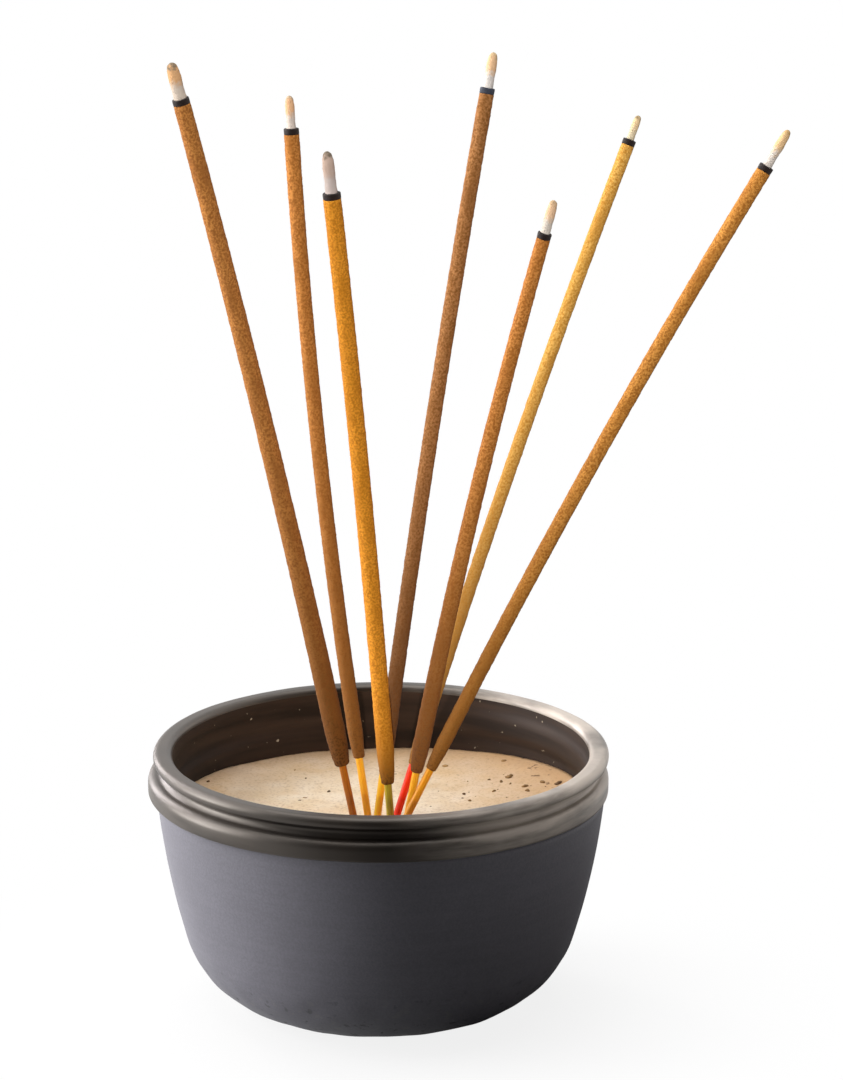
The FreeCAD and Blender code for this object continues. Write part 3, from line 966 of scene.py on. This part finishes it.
# Mirror images in the glaze show the white backdrop behind the bowl and the dark room before it.
backward = add(sky, "SeparateXYZ", links={"Vector": add(sky, "TexCoord").outputs["Generated"]}).outputs["Y"]
mirrored = add(sky, "MapRange", {"From Min": -0.75, "From Max": 0.25, "To Min": 0.05, "To Max": 1.0},
               {"Value": backward}, interpolation_type="SMOOTHSTEP")
around = add(sky, "Mix", {2: 0.1}, {0: ray.outputs["Is Glossy Ray"], 3: mirrored.outputs["Result"]},
             data_type="FLOAT")
straight_on = add(sky, "Math",
                  links={0: ray.outputs["Is Camera Ray"], 1: ray.outputs["Is Transmission Ray"]},
                  operation="MAXIMUM")
strength = add(sky, "Mix", {3: 1.0}, {0: straight_on.outputs["Value"], 2: around.outputs[0]},
               data_type="FLOAT")
glow = add(sky, "Background", {"Color": linear("#ffffff")}, {"Strength": strength.outputs[0]})
add(sky, "OutputWorld", links={"Surface": glow.outputs["Background"]})
print("world:", world.name)

# %% [markdown]
# ## Lights
# A large soft box high on the left is the key light. A low one below it and a narrow one behind it draw the
# pale left side of the bowl, weak ones on the right lift the shaded side, and a large one overhead
# opens the ash and the rim. A spotlight from the front lights the sticks and the back of the bowl. A
# soft box there would also wash out the front of the rim, so its oval beam passes just over the lip, and it
# is kept out of mirror images, where it would leave a hard glint.

# %% Lights
def hang(lamp, place, aim):
    """Hang a lamp at a place, pointed at another place on the object."""
    holder = bpy.data.objects.new(lamp.name, lamp)
    holder.location = place
    holder.rotation_euler = (Vector(aim) - Vector(place)).to_track_quat("-Z", "Y").to_euler()
    bpy.context.scene.collection.objects.link(holder)
    return holder


def soft_box(name, place, aim, width, height, power, colour="#ffffff"):
    """An area light of that size."""
    lamp = bpy.data.lights.new(name, "AREA")
    lamp.shape = "RECTANGLE"
    lamp.size = width
    lamp.size_y = height
    lamp.energy = power
    lamp.color = linear(colour)[:3]
    hang(lamp, place, aim)


def oval_spot(name, place, aim, width, height, power):
    """A spotlight with an oval beam of that size where it is aimed, which is kept out of mirror images."""
    lamp = bpy.data.lights.new(name, "SPOT")
    lamp.energy = power
    lamp.shadow_soft_size = 5 * mm
    lamp.spot_size = 2 * math.atan(height / 2 / (Vector(aim) - Vector(place)).length)
    lamp.spot_blend = 0.19
    holder = hang(lamp, place, aim)
    holder.scale.x = width / height
    holder.visible_glossy = False


middle = (0.0, 0.0, 0.07)
# Name, place, aim, width and height in metres, and power in watts.
soft_box("key_left", (-0.84, 0.07, 0.42), middle, 0.6, 0.6, 8.0)
soft_box("low_left", (-0.86, 0.02, 0.1), middle, 0.5, 0.2, 4.6)
soft_box("edge_left", (-0.55, 0.65, 0.3), middle, 0.15, 0.6, 4.0, "#f6f0f2")
soft_box("low_right", (0.85, 0.0, 0.1), middle, 0.4, 0.2, 0.2, "#fff0e2")
soft_box("edge_right", (0.6, 0.55, 0.3), middle, 0.12, 0.6, 0.4, "#fff0e2")
soft_box("top", (-0.05, 0.1, 0.9), middle, 0.8, 0.8, 5.6)
oval_spot("fill_sticks", (0.0, -1.1, 0.295), (0.0, 0.0, 0.1564), 0.7, 0.23, 33.0)
print("lights:", len(bpy.data.lights))

# %% [markdown]
# ## Camera
# The picture is taken from a little above, about fifteen degrees, with a long lens from 0.9 m away, so
# that the far side of the rim is hardly smaller than the near one. A camera can be turned towards an
# empty with a constraint. Here its place is worked out from the point it looks at, which needs no helper.

# %% Camera
camera_data = bpy.data.cameras.new("camera")
camera_data.lens = 152.0
camera_data.clip_start = 0.05
camera = bpy.data.objects.new("camera", camera_data)
aim = Vector((8.4 * mm, 0, 95.5 * mm))
distance = 0.9
pitch = math.radians(15.2)
camera.location = aim + Vector((0, -math.cos(pitch), math.sin(pitch))) * distance
camera.rotation_euler = (math.pi / 2 - pitch, 0, 0)
bpy.context.scene.collection.objects.link(camera)
bpy.context.scene.camera = camera
bpy.context.scene.view_settings.view_transform = "Standard"
print("camera at", tuple(round(c, 4) for c in camera.location))
